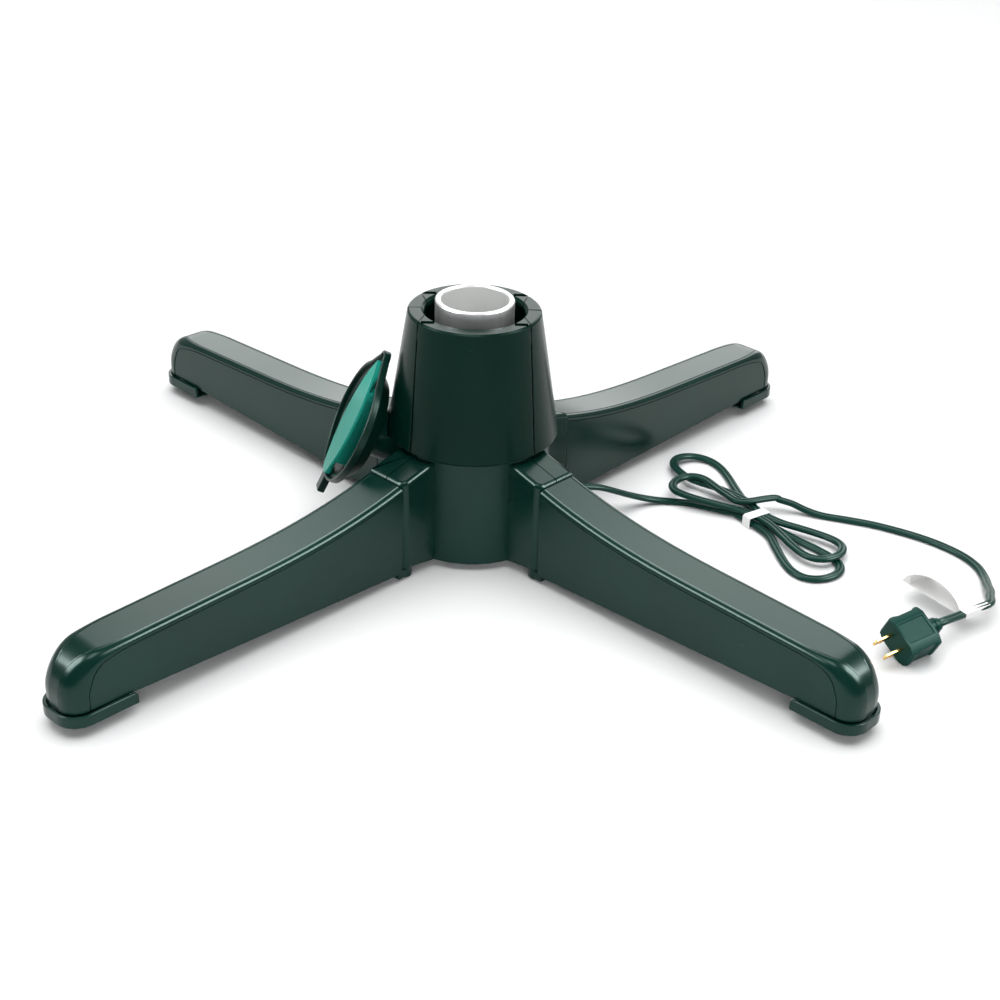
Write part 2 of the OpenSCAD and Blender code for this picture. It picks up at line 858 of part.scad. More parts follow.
// legs
// the top line of a leg, from the stub out to the nose
leg_top_line = [
    [leg_start, leg_root_top],
    for (k = [1 : 9])
        let (t = k / 9, x = leg_start + 158 * t, u = 1 - t)
        [x, leg_mid_top + (leg_root_top - leg_mid_top) * (0.25 * u + 0.75 * pow(u, 2.6))],
    [leg_reach - nose_r - 6, leg_tip_top + 1],
    [leg_reach - nose_r, leg_tip_top]
];
leg_side_line = concat(
    leg_top_line,
    [for (a = [10 : 10 : 90])
        [leg_reach - nose_r + nose_r * sin(a), leg_tip_top - nose_r + nose_r * cos(a)]],
    [[leg_reach, leg_tip_low], [leg_start, leg_root_low]]
);

module leg_plan(reach, w, corner) {
    translate([leg_start, -w / 2]) square([reach - leg_start - corner, w]);
    translate([reach - corner - eps, -w / 2 + corner]) square([corner + eps, w - 2 * corner]);
    for (s = [-1, 1])
        translate([reach - corner, s * (w / 2 - corner)]) circle(r = corner, $fn = 48);
}

module leg_side(w, line) {
    translate([0, w / 2, 0]) rotate([90, 0, 0]) linear_extrude(w) polygon(line);
}

// the hollow's side view: it runs out at the root and below, and keeps the wall elsewhere
function in_nose(x) = max(0, x - leg_reach + nose_r) / nose_r;
leg_hollow_line = [
    for (p = leg_side_line)
        [
            p[0] <= leg_start ? p[0] - 2 : p[0] - leg_wall * in_nose(p[0]),
            p[1] - (p[1] <= leg_tip_low ? 3 : leg_wall)
        ]
];

module leg(i) {
    side = pin_sides[i];
    color(green) at_leg(i) difference() {
        union() {
            difference() {
                intersection() {
                    leg_side(leg_w, leg_side_line);
                    linear_extrude(leg_root_top + past) leg_plan(leg_reach, leg_w, tip_round);
                }
                intersection() {
                    leg_side(leg_w - 2 * leg_wall, leg_hollow_line);
                    translate([-past, 0, 0]) linear_extrude(leg_root_top + past)
                        leg_plan(leg_reach - leg_wall + past, leg_w - 2 * leg_wall, tip_round - leg_wall);
                }
            }
            translate([leg_start + 3, -leg_w / 2 + 1, leg_root_low + 0.5])
                cube([10, leg_w - 2, eye_top - leg_root_low - 0.5]);
            translate([pin_at, side * pin_off, eye_low]) cylinder(d = eye_d, h = eye_top - eye_low);
            translate([pin_at, side * pin_off - eye_d / 2, eye_low])
                cube([leg_start + 10 - pin_at, eye_d, eye_top - eye_low]);
        }
        translate([pin_at, side * pin_off, -1]) cylinder(r = pin_d / 2 + fit, h = 20);
    }
}

module hinge_pins() {
    head_h = 1;
    color("silver") for (i = [0 : 3])
        at_leg(i) translate([pin_at, pin_sides[i] * pin_off, 0]) {
            translate([0, 0, eye_low]) cylinder(d = pin_d, h = pin_top - eye_low - 0.2);
            translate([0, 0, eye_low - head_h]) cylinder(d = pin_d + 3, h = head_h - slack / 2);
            translate([0, 0, eye_low - head_h / 2]) cylinder(d = pin_d, h = head_h);
        }
}

// feet
module band(i) {
    inner = band_gap;
    outer = band_gap + band_out;
    start = leg_reach - band_l;
    floor_t = 2.5;
    color(green) at_leg(i) difference() {
        intersection() {
            translate([0, 0, band_low]) linear_extrude(band_h)
                leg_plan(band_reach, leg_w + 2 * outer, tip_round + outer);
            translate([start, -leg_w, 0]) cube([2 * band_l, 2 * leg_w, leg_root_top]);
        }
        translate([0, 0, band_low + floor_t]) linear_extrude(band_h)
            leg_plan(leg_reach + inner, leg_w + 2 * inner, tip_round + inner);
        translate([pad_at, 0, 0]) cylinder(r = stem_r + fit, h = band_low + floor_t + 1);
    }
}

module pad(i) {
    color(black) at_leg(i) translate([pad_at, 0, 0]) {
        cylinder(d1 = pad_d - 1.5, d2 = pad_d, h = 1);
        translate([0, 0, 1]) cylinder(d = pad_d, h = band_low - 1);
        translate([0, 0, band_low - 1]) cylinder(r = stem_r, h = 4);
    }
}

// cord
function mix(a, b, t) = a + (b - a) * t;
function unit(v) = v / norm(v);
function level_side(t) = unit([t[1], -t[0], 0]);
function ring_at(p, t, sides) =
    let (side = level_side(t), up = cross(side, t))
    [for (k = [0 : sides - 1])
        let (a = 360 * k / sides)
        p + side * cord_w / 2 * cos(a) + up * cord_t / 2 * sin(a) * (sides == 6 ? 1.155 : 1)];
function tangents(path) =
    let (n = len(path))
    [for (i = [0 : n - 1])
        unit(i == 0 ? path[1] - path[0] : i == n - 1 ? path[n - 1] - path[n - 2]
            : unit(path[i + 1] - path[i]) + unit(path[i] - path[i - 1]))];

module swept(path, sides) {
    n = len(path);
    t = tangents(path);
    points = [for (i = [0 : n - 1]) each ring_at(path[i], t[i], sides)];
    walls = [
        for (i = [0 : n - 2], k = [0 : sides - 1])
            let (a = i * sides + k, b = i * sides + (k + 1) % sides)
            each [[a, b, a + sides], [b, b + sides, a + sides]]
    ];
    first = [for (k = [1 : sides - 2]) [0, k + 1, k]];
    last = [for (k = [1 : sides - 2])
        let (e = (n - 1) * sides) [e, e + k, e + k + 1]];
    polyhedron(points = points, faces = concat(walls, first, last));
}

// a smooth step from 0 to 1 while x goes from a to b
function step(x, a, b) = let (u = min(1, max(0, (x - a) / (b - a)))) u * u * (3 - 2 * u);

// a lobe's value at t, blended from one lobe to the next as the cord crosses the waist
function lobe_at(t, k) =
    let (i = min(3, floor((t + 90) / 180)), before = hank_lobes[max(0, i - 1)][k])
    mix(before, hank_lobes[i][k], step(t, 180 * i - 30, 180 * i + 30));

function hank_point(t) =
    let (
        side = 1 - 2 * step(t, 325, 352),
        fade = 1 - 0.6 * step(t, 660, 712),
        turn = lobe_at(t, 1),
        x = lobe_at(t, 0) * sin(t),
        y = cos(t) * side * fade * (waist_half + lobe_at(t, 2) * pow(sin(t), 2)),
        z = cord_z + tie_lift * pow(cos(t), 6) + layer * (step(t, hank_climbs[0][0], hank_climbs[0][1])
            + step(t, hank_climbs[1][0], hank_climbs[1][1]))
    )
    [hank_at[0] + x * cos(turn) + y * sin(turn), hank_at[1] + x * sin(turn) - y * cos(turn), z];

gland_dir = [cos(gland_turn), sin(gland_turn), 0];
lead_path = concat([gland_exit, gland_exit + cord_w * gland_dir], lead_route);
plug_back = -[cos(plug_dir) * cos(plug_tilt), sin(plug_dir) * cos(plug_tilt), -sin(plug_tilt)];
tail_end = [plug_at[0], plug_at[1], plug_z] + (plug_l + plug_neck_l) * plug_back;
tag_along = [cos(tag_dir), sin(tag_dir), 0];
tail_path = concat(
    tail_route,
    [for (d = [tag_w + cord_w / 2, tag_w / 2, -cord_w / 2]) tag_at + d * tag_along],
    [tail_end + cord_w * plug_back, tail_end]
);
lead_end = lead_route[len(lead_route) - 1];
tail_start = tail_route[0];
hank_loops = [for (k = [1 : hank_rings - 1]) hank_point(720 * k / hank_rings)];
hank_in = lead_end + cord_w * unit(lead_end - lead_route[len(lead_route) - 2]);
hank_out = tail_start - cord_w * unit(tail_route[1] - tail_start);
hank_path = concat([lead_end, hank_in], hank_loops, [hank_out, tail_start]);

// least gap of the hank to itself, on points between its rings
function gap_between(p, q) = max(abs(p[2] - q[2]) - cord_t, norm([p[0] - q[0], p[1] - q[1]]) - cord_w);
hank_samples = [for (i = [0 : len(hank_path) - 2], k = [0 : 3]) mix(hank_path[i], hank_path[i + 1], k / 4)];
apart = 10;
hank_gap = min([
    for (i = [0 : len(hank_samples) - 1 - apart])
        min([for (j = [i + apart : len(hank_samples) - 1]) gap_between(hank_samples[i], hank_samples[j])])
]);
echo(hank_least_gap_mm = hank_gap);

module cord_lead() {
    color(green) swept(lead_path, cord_sides);
}

module cord_hank() {
    color(green) swept(hank_path, hank_sides);
}

module cord_tail() {
    color(green) swept(tail_path, cord_sides);
}

module cord_gland() {
    flat = 0.4;
    color(green) rotate([0, 0, gland_turn]) difference() {
        translate([0, 0, gland_z]) rotate([0, 90, 0]) union() {
            translate([0, 0, hub_r - hub_wall - 2]) cylinder(r = gland_r, h = hub_wall + 2 + gland_flange_t);
            translate([0, 0, hub_r + flat]) cylinder(r = gland_flange_r, h = gland_flange_t - flat);
            translate([0, 0, hub_r + gland_flange_t])
                cylinder(r1 = gland_r, r2 = gland_tip_r, h = gland_l);
        }
        translate([0, 0, -eps]) cylinder(r = hub_r - hub_wall - 1, h = 60);
    }
}

// a flat strap round the waist of the hank
tie_turn = -58;
tie_at = hank_at + [-0.9, -2.5];
tie_l = 9;
tie_strap = 0.7;
tie_half = 10.9;
tie_top = cord_z + tie_lift + layer + cord_t / 2 + 0.25 + tie_strap;

module tie_block(l, half_w, low, high) {
    corner = 2;
    translate([-l / 2, 0, 0]) rotate([90, 0, 90]) linear_extrude(l) {
        translate([-half_w, low]) square([2 * half_w, high - low - corner]);
        translate([-half_w + corner, low]) square([2 * (half_w - corner), high - low]);
        for (s = [-1, 1])
            translate([s * (half_w - corner), high - corner]) circle(r = corner, $fn = 32);
    }
}

module cord_tie() {
    color("white") translate([tie_at[0], tie_at[1], 0]) rotate([0, 0, tie_turn])
        difference() {
            tie_block(tie_l, tie_half + tie_strap, 0, tie_top);
            tie_block(tie_l + 2, tie_half, tie_strap, tie_top - tie_strap);
        }
}

module at_plug() {
    translate([plug_at[0], plug_at[1], plug_z]) rotate([0, plug_tilt, plug_dir])
        rotate([-plug_roll, 0, 0]) children();
}

// plan of the plug: its front and the rim at its back are wider than its waist
module plug_plan() {
    rim = 3.5;
    waist = plug_w / 2 - 1.2;
    half = [
        [0, plug_w / 2 - 1.5], [-2, plug_w / 2], [-5, plug_w / 2], [-9, waist], [-plug_l + rim + 1, waist],
        [-plug_l + rim, plug_w / 2], [-plug_l + 1, plug_w / 2], [-plug_l, plug_w / 2 - 1]
    ];
    n = len(half);
    polygon(concat(half, [for (k = [1 : n]) [half[n - k][0], -half[n - k][1]]]));
}

// the plug's section: wide faces with the corners cut off
module plug_section() {
    x = plug_h / 2;
    y = plug_w / 2;
    cut = [x - plug_corner[1], y - plug_corner[0]];
    polygon([
        [x, cut[1]], [cut[0], y], [-cut[0], y], [-x, cut[1]],
        [-x, -cut[1]], [-cut[0], -y], [cut[0], -y], [x, -cut[1]]
    ]);
}

module plug_body() {
    neck_start = 7;
    color(green) at_plug() union() {
        difference() {
            intersection() {
                translate([0, 0, -plug_h]) linear_extrude(2 * plug_h) plug_plan();
                rotate([0, -90, 0]) translate([0, 0, -1]) linear_extrude(plug_l + 2) plug_section();
            }
            for (s = [-1, 1])
                translate([0.5, s * blade_gap / 2, 0])
                    cube([13, blade_t + 2 * fit, blade_w + 2 * fit], center = true);
        }
        rotate([0, -90, 0]) translate([0, 0, plug_l - eps]) {
            cylinder(r1 = neck_start, r2 = plug_neck_r, h = plug_neck_l + eps);
            for (k = [0 : 1])
                translate([0, 0, 3 + 4.5 * k]) cylinder(r = 6.6 - 0.4 * k, h = 2.2);
        }
    }
}

module plug_blades() {
    hole_r = 1.6;
    root = 6;
    color("gold") at_plug() for (s = [-1, 1])
        translate([0, s * blade_gap / 2, 0]) difference() {
            union() {
                translate([-root, -blade_t / 2, -blade_w / 2]) cube([blade_l + root - 1, blade_t, blade_w]);
                translate([-root, -blade_t / 2, -blade_w / 2 + 1])
                    cube([blade_l + root, blade_t, blade_w - 2]);
            }
            translate([blade_l - 5, 0, 0]) rotate([90, 0, 0]) cylinder(r = hole_r, h = 4, center = true);
        }
}

// side view of the tag: a loop about the cord whose upper and lower sheets meet at its tip
tag_half = cord_w / 2 + tag_t;
tag_steps = 16;
tag_top = tag_at[2] + cord_t / 2 + fit;
tag_foot = tag_at[2] - cord_t / 2 - tag_t;
function tag_upper(u) = [
    tag_half + tag_reach * u,
    mix(tag_top, tag_tip, u) + tag_rise * pow(sin(180 * u), 0.6)
];
function tag_lower(u) = [tag_half + tag_reach * u, mix(tag_foot, tag_tip, u)];

module cord_tag() {
    shut = tag_steps - 2;
    color("white") translate([tag_at[0], tag_at[1], 0]) rotate([90, 0, tag_dir + 90])
        linear_extrude(tag_w) difference() {
            polygon(concat(
                [[-tag_half, tag_foot], [-tag_half, tag_top + tag_t]],
                [for (k = [0 : tag_steps]) tag_upper(k / tag_steps) + [0, tag_t]],
                [for (k = [tag_steps : -1 : 0]) tag_lower(k / tag_steps)]
            ));
            polygon(concat(
                [for (k = [0 : shut]) tag_upper(k / tag_steps)],
                [for (k = [shut : -1 : 0]) tag_lower(k / tag_steps) + [0, tag_t]]
            ));
            translate([0, tag_at[2]]) square([cord_w + 2 * fit, cord_t + 2 * fit], center = true);
        }
}

hub_front_shell();
hub_right_shell();
hub_back_shell();
hub_left_shell();
bottom_plate();
plate_screws();
cone_front_panel();
cone_back_panel();
cone_left_panel();
cone_right_panel();
bearing_tower();
tower_screws();
tube_bush();
lower_race();
ball_cage();
bearing_balls();
upper_race();
turntable();
ring_gear();
gear_screws();
tree_tube();
pole_stop();
motor_can();
gearbox();
gearbox_screws();
output_pinion();
control_board();
board_parts();
selector_pod();
mode_switch();
dial_dish();
dial_grip();
dial_shaft();
leg(0);  // leg_back_right
leg(1);  // leg_back_left
leg(2);  // leg_front_left
leg(3);  // leg_front_right
band(0);  // band_back_right
band(1);  // band_back_left
band(2);  // band_front_left
band(3);  // band_front_right
pad(0);  // pad_back_right
pad(1);  // pad_back_left
pad(2);  // pad_front_left
pad(3);  // pad_front_right
hinge_pins();
cord_gland();
cord_lead();
cord_hank();
cord_tail();
cord_tie();
cord_tag();
plug_body();
plug_blades();
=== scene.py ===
import math

import bmesh
import bpy
from mathutils import Matrix, Vector


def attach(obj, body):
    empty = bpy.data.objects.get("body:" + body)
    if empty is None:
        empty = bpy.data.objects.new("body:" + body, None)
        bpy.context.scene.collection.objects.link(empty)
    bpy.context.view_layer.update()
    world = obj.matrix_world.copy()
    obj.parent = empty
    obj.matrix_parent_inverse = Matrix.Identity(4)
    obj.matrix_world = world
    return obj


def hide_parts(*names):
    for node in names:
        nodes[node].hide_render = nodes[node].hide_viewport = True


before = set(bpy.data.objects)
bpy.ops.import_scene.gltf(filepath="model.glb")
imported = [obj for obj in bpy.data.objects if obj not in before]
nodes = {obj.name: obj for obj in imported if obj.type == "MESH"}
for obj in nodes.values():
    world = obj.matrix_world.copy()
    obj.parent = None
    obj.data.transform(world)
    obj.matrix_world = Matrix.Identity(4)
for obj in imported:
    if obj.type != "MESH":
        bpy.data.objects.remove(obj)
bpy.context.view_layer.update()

scene = bpy.context.scene
mm = 0.001
for leftover in ("Cube", "Light", "Camera"):
    if leftover in bpy.data.objects:
        bpy.data.objects.remove(bpy.data.objects[leftover])


# camera, floor and lights
view = {
    "place": (-2.81, -1192.05, 690.57),  # millimetres
    "yaw": 4.21,
    "pitch": 28.71,
    "roll": 3.06,
    "focalPixels": 1705.51,
    "shift": (-0.07782, -0.00523),
}


def placeCamera():
    yaw, pitch, roll = (math.radians(view[k]) for k in ("yaw", "pitch", "roll"))
    ahead = Vector((math.sin(yaw) * math.cos(pitch), math.cos(yaw) * math.cos(pitch), -math.sin(pitch)))
    right = Vector((math.cos(yaw), -math.sin(yaw), 0))
    above = right.cross(ahead)
    side = right * math.cos(roll) + above * math.sin(roll)
    top = above * math.cos(roll) - right * math.sin(roll)
    lens = bpy.data.cameras.new("view")
    lens.sensor_width = 36
    lens.lens = 36 * view["focalPixels"] / 1000
    lens.shift_x, lens.shift_y = view["shift"]
    lens.clip_start, lens.clip_end = 0.05, 40
    camera = bpy.data.objects.new("view", lens)
    turn = Matrix((side, top, -ahead)).transposed()
    camera.matrix_world = Matrix.Translation(Vector(view["place"]) * mm) @ turn.to_4x4()
    scene.collection.objects.link(camera)
    scene.camera = camera


studio = {
    "floorHalf": 9.0,
    "floorTone": (0.86, 0.865, 0.87, 1),
    "worldFront": 0.03,
    "worldBack": 0.5,
    "worldTop": 0.02,
    # name: place, aim, size, watts, and whether it lights surfaces or is only seen in them
    "lamps": {
        "washTop": ((0.0, 0.6, 3.4), (0, 0.6, 0), 5.0, 235, "lights"),
        "fillFront": ((0.1, -2.1, 0.9), (0, 0, 0.08), 1.2, 20, "lights"),
        "wallBack": ((0.4, 3.0, 1.9), (0.1, 0, 0.2), 3.3, 90, "shines"),
        "softboxFront": ((-0.25, -0.62, 2.0), (0, -0.1, 0), 0.9, 12, "shines"),
        "softboxRight": ((1.52, -0.37, 1.28), (0, -0.1, 0.08), 1.1, 70, "shines"),
        "softboxLeft": ((-1.52, -0.37, 1.28), (0, -0.1, 0.08), 1.1, 60, "shines"),
    },
}


class Socket:
    # a shader value that adds, subtracts and multiplies like a number
    def __init__(self, tree, out=None):
        self.tree = tree
        self.out = out

    def node(self, kind, settings=None, sockets=None, pick=0):
        made = self.tree.nodes.new(kind)
        for key, value in (settings or {}).items():
            setattr(made, key, value)
        for key, value in (sockets or {}).items():
            if isinstance(value, Socket):
                self.tree.links.new(value.out, made.inputs[key])
            else:
                made.inputs[key].default_value = value
        return Socket(self.tree, made.outputs[pick])

    def maths(self, operation, first, second=0.0):
        return self.node("ShaderNodeMath", {"operation": operation}, {0: first, 1: second})

    def __add__(self, other):
        return self.maths("ADD", self, other)

    def __radd__(self, other):
        return self.maths("ADD", other, self)

    def __sub__(self, other):
        return self.maths("SUBTRACT", self, other)

    def __rsub__(self, other):
        return self.maths("SUBTRACT", other, self)

    def __mul__(self, other):
        return self.maths("MULTIPLY", self, other)

    def __rmul__(self, other):
        return self.maths("MULTIPLY", other, self)

    def between(self, low, high):
        # 0 below low and 1 above high
        return self.node(
            "ShaderNodeMapRange", {"interpolation_type": "SMOOTHSTEP"}, {0: self, 1: low, 2: high}
        )

    def tones(self, dark, light):
        return self.node(
            "ShaderNodeMix", {"data_type": "RGBA"}, {0: self, 6: dark, 7: light}, pick=2
        )


def shade(colour, factor):
    return tuple(min(1.0, c * factor) for c in colour[:3]) + (1,)


def newFinish(name, **fixed):
    material = bpy.data.materials.new(name)
    material.use_nodes = True
    shader = material.node_tree.nodes["Principled BSDF"]
    for key, value in fixed.items():
        shader.inputs[key].default_value = value
    return material, material.node_tree, shader


def patternPlace(tree, stretch=(1, 1, 1)):
    here = Socket(tree).node("ShaderNodeTexCoord", pick="Object")
    return here.node("ShaderNodeMapping", None, {"Vector": here, "Scale": stretch})


def noise(place, scale, detail=2.0, roughness=0.5):
    return place.node(
        "ShaderNodeTexNoise", None,
        {"Vector": place, "Scale": scale, "Detail": detail, "Roughness": roughness},
    )


sheen = {
    "greenTint": (0.78, 1.0, 0.94, 1),
    "plainTint": (1, 1, 1, 1),
    "greenShare": 3,  # a tone is green where its green is this many times its red
}


# moulded plastic: a soft cloud of tone, fine grain in the surface, and a few faint rubs
def mouldedPlastic(name, tone, rough=0.22, cloudy=0.14, grain=900, depth=0.08, gloss=0.3, rubs=0.05):
    material, tree, shader = newFinish(name, **{"Specular IOR Level": gloss})
    tint = "greenTint" if tone[1] > tone[0] * sheen["greenShare"] else "plainTint"
    shader.inputs["Specular Tint"].default_value = sheen[tint]
    place = patternPlace(tree)
    cloud = noise(place, 11, 3)
    fine = noise(place, grain, 2)
    rub = noise(patternPlace(tree, (1, 1, 3.5)), 34, 5, 0.62).between(0.62, 0.78)
    colour = cloud.between(0.3, 0.7).tones(shade(tone, 1 - cloudy), shade(tone, 1 + cloudy))
    worn = (rub * 0.22).tones((0, 0, 0, 1), (1, 1, 1, 1))
    lit = worn.node(
        "ShaderNodeMix", {"data_type": "RGBA", "blend_type": "SOFT_LIGHT"},
        {0: rubs, 6: colour, 7: worn}, pick=2,
    )
    tree.links.new(lit.out, shader.inputs["Base Color"])
    dull = rough + (cloud - 0.5) * 0.1 + (fine - 0.5) * 0.05 + rub * rubs
    tree.links.new(dull.out, shader.inputs["Roughness"])
    dent = fine.node("ShaderNodeBump", None, {"Strength": depth, "Distance": 0.0002, "Height": fine})
    tree.links.new(dent.out, shader.inputs["Normal"])
    return material


# drawn or turned metal: long fine scratches along one way, with softer cloudy patches
def workedMetal(name, tone, rough=0.3, stretch=(1, 1, 0.02), lines=700, depth=0.12, cloudy=0.06):
    material, tree, shader = newFinish(name, Metallic=1.0)
    long = noise(patternPlace(tree, stretch), lines, 3)
    cloud = noise(patternPlace(tree), 24, 3)
    colour = (cloud * 0.6 + long * 0.4).between(0.3, 0.7).tones(
        shade(tone, 1 - cloudy), shade(tone, 1 + cloudy)
    )
    tree.links.new(colour.out, shader.inputs["Base Color"])
    dull = rough + (long - 0.5) * 0.14 + (cloud - 0.5) * 0.1
    tree.links.new(dull.out, shader.inputs["Roughness"])
    dent = long.node("ShaderNodeBump", None, {"Strength": depth, "Distance": 0.0001, "Height": long})
    tree.links.new(dent.out, shader.inputs["Normal"])
    return material


# the pole tube: bright drawn steel outside; inside, a duller, less metallic skin whose paler tone is painted
# light that brightens the shaded bore
def tubeMetal(name, tone, inside, bore):
    material = workedMetal(name, tone, rough=0.36, stretch=(1, 1, 0.03), depth=0.02)
    tree = material.node_tree
    shader = tree.nodes["Principled BSDF"]
    here = Socket(tree).node("ShaderNodeTexCoord", pick="Object")
    x, y = (here.node("ShaderNodeSeparateXYZ", None, {0: here}, pick=k) for k in (0, 1))
    outer = (x * x + y * y).between((bore - 0.4 * mm) ** 2, (bore + 0.4 * mm) ** 2)
    skin = Socket(tree, shader.inputs["Base Color"].links[0].from_socket)
    # within the bore the colour turns to the paler inside tone: painted light on the shaded inner wall
    colour = skin.node("ShaderNodeMix", {"data_type": "RGBA"}, {0: outer, 6: inside, 7: skin}, pick=2)
    tree.links.new(colour.out, shader.inputs["Base Color"])
    tree.links.new((outer * 0.5 + 0.3).out, shader.inputs["Metallic"])
    return material


tones = {
    "green": (0.0020, 0.0230, 0.0165),
    "coneGreen": (0.0010, 0.0160, 0.0110),
    "cordGreen": (0.0022, 0.0330, 0.0235),
    "plugGreen": (0.0020, 0.0380, 0.0290),
    "teal": (0.0160, 0.3300, 0.2550),
    "black": (0.0040, 0.0075, 0.0065),
    "rubber": (0.0060, 0.0080, 0.0075),
    "steel": (0.62, 0.62, 0.63),
    # the inside of the tube: a paler tone, painted light that brightens the shaded bore
    "paintedBoreLight": (0.74, 0.75, 0.74, 1),
    "brass": (0.80, 0.53, 0.17),
    "nylon": (0.72, 0.72, 0.68),
    "board": (0.015, 0.10, 0.035),
    "film": (0.84, 0.84, 0.83),
}

finishes = {
    "hub": mouldedPlastic("hubPlastic", tones["green"]),
    "cone": mouldedPlastic("conePlastic", tones["coneGreen"], rough=0.24, depth=0.1, gloss=0.12),
    "dish": mouldedPlastic("dishPlastic", tones["coneGreen"], rough=0.34),
    "grip": mouldedPlastic("gripPlastic", tones["teal"], rough=0.34, cloudy=0.07, rubs=0.03),
    "black": mouldedPlastic("blackPlastic", tones["black"], rough=0.45),
    "rubber": mouldedPlastic("padRubber", tones["rubber"], rough=0.72, grain=500, depth=0.2, gloss=0.3),
    "cord": mouldedPlastic("cordVinyl", tones["cordGreen"], rough=0.3, grain=1400, depth=0.03, gloss=0.22),
    "plug": mouldedPlastic("plugVinyl", tones["plugGreen"], rough=0.38, grain=1100, gloss=0.1),
    "nylon": mouldedPlastic("nylonPlastic", tones["nylon"], rough=0.4, cloudy=0.05),
    "tie": mouldedPlastic("tiePlastic", tones["film"], rough=0.18, cloudy=0.05, gloss=0.8),
    "film": mouldedPlastic("tagFilm", tones["film"], rough=0.3, cloudy=0.03, grain=600),
    "board": mouldedPlastic("boardLacquer", tones["board"], rough=0.25, cloudy=0.2),
    "parts": mouldedPlastic("moduleResin", tones["black"], rough=0.5, cloudy=0.25),
    "tube": tubeMetal("tubeSteel", tones["steel"], tones["paintedBoreLight"], 26.0 * mm),
    "steel": workedMetal("turnedSteel", tones["steel"], rough=0.25, stretch=(1, 1, 1), lines=400),
    "can": workedMetal("motorZinc", shade(tones["steel"], 0.8), rough=0.38, stretch=(0.2, 0.2, 1)),
    "brass": workedMetal("bladeBrass", tones["brass"], rough=0.24, stretch=(1, 1, 1), lines=500),
}
print("finishes made")


def setStudio():
    floorFinish, tree, shader = newFinish("floorPaper", Roughness=0.5)
    shader.inputs["Specular IOR Level"].default_value = 0.0
    cloud = noise(patternPlace(tree), 3, 2)
    low, high = shade(studio["floorTone"], 0.985), shade(studio["floorTone"], 1.0)
    tree.links.new(cloud.tones(low, high).out, shader.inputs["Base Color"])
    bm = bmesh.new()
    bmesh.ops.create_grid(bm, x_segments=4, y_segments=4, size=studio["floorHalf"])
    mesh = bpy.data.meshes.new("floor")
    bm.to_mesh(mesh)
    bm.free()
    mesh.materials.append(floorFinish)
    floor = bpy.data.objects.new("floor", mesh)
    scene.collection.objects.link(floor)

    world = bpy.data.worlds.new("studio")
    world.use_nodes = True
    scene.world = world
    sky = world.node_tree
    ahead = Socket(sky).node("ShaderNodeTexCoord", pick="Generated")
    depth = ahead.node("ShaderNodeSeparateXYZ", None, {0: ahead}, pick=1)
    height = ahead.node("ShaderNodeSeparateXYZ", None, {0: ahead}, pick=2)
    front, back, top = ((studio[k],) * 3 + (1,) for k in ("worldFront", "worldBack", "worldTop"))
    around = depth.between(-0.25, 0.55).tones(front, back)
    glow = height.between(0.45, 0.8).tones(around, top)
    sky.links.new(glow.out, sky.nodes["Background"].inputs["Color"])

    for name, (place, aim, size, watts, use) in studio["lamps"].items():
        lamp = bpy.data.lights.new(name, "AREA")
        lamp.shape = "SQUARE"
        lamp.size = size
        lamp.energy = watts
        lampObject = bpy.data.objects.new(name, lamp)
        lampObject.location = place
        lampObject.visible_glossy = use == "shines"
        lampObject.visible_diffuse = use == "lights"
        lampObject.rotation_mode = "QUATERNION"
        lampObject.rotation_quaternion = (Vector(aim) - Vector(place)).to_track_quat("-Z", "Y")
        scene.collection.objects.link(lampObject)
    scene.view_settings.view_transform = "Standard"


placeCamera()
setStudio()
print("camera, floor and lights placed")


# shared ways of making a piece
def fairNormals(bm, limit):
    # each corner leans to the largest of the faces about it that turn less than the limit
    bm.normal_update()
    level = math.cos(math.radians(limit))
    areas = {face: face.calc_area() for face in bm.faces}
    normals = []
    for face in bm.faces:
        face.smooth = True
        for loop in face.loops:
            near = [f for f in loop.vert.link_faces if f.normal.dot(face.normal) > level]
            total = sum((f.normal * areas[f] for f in near), Vector((0, 0, 0)))
            normals.append(total.normalized())
    return normals


def makePiece(name, bm, finish, body, stands=(), limit=40):
    normals = fairNormals(bm, limit)
    mesh = bpy.data.meshes.new(name)
    bm.to_mesh(mesh)
    bm.free()
    mesh.normals_split_custom_set(normals)
    mesh.materials.append(finishes[finish])
    piece = bpy.data.objects.new(name, mesh)
    scene.collection.objects.link(piece)
    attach(piece, body)
    if stands:
        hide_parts(*stands)
    return piece


def cadCopy(node):
    # the node's surface as whole flat faces instead of loose triangles
    bm = bmesh.new()
    bm.from_mesh(nodes[node].data)
    bmesh.ops.remove_doubles(bm, verts=bm.verts, dist=0.000003)
    bmesh.ops.dissolve_limit(bm, angle_limit=math.radians(0.5), verts=bm.verts, edges=bm.edges)
    return bm


def turnedAway(edge, least=30):
    # a convex edge whose faces meet at more than the least angle
    if len(edge.link_faces) != 2:
        return False
    return edge.calc_face_angle_signed(0) > math.radians(least)


def roundOff(bm, width, segments, choose=None, least=30, clamp=True):
    edges = [e for e in bm.edges if turnedAway(e, least) and (choose is None or choose(e))]
    bmesh.ops.bevel(
        bm, geom=edges, offset=width * mm, offset_type="OFFSET", segments=segments, profile=0.5,
        affect="EDGES", clamp_overlap=clamp, material=-1,
    )
    return len(edges)


def middle(edge):
    return (edge.verts[0].co + edge.verts[1].co) / 2 / mm


def shadeAsTurned(piece, least=0.12):
    # faces of a surface turned about the upright axis shade as that round surface
    mesh = piece.data
    normals = [corner.vector.copy() for corner in mesh.corner_normals]
    for face in mesh.polygons:
        outward = Vector((face.center.x, face.center.y, 0)).normalized()
        across = Vector((-outward.y, outward.x, 0))
        if abs(face.normal.dot(across)) > least:
            continue
        for loop in face.loop_indices:
            at = mesh.vertices[mesh.loops[loop].vertex_index].co
            spoke = Vector((at.x, at.y, 0)).normalized()
            normals[loop] = (spoke * face.normal.dot(outward) + Vector((0, 0, face.normal.z))).normalized()
    mesh.normals_split_custom_set(normals)


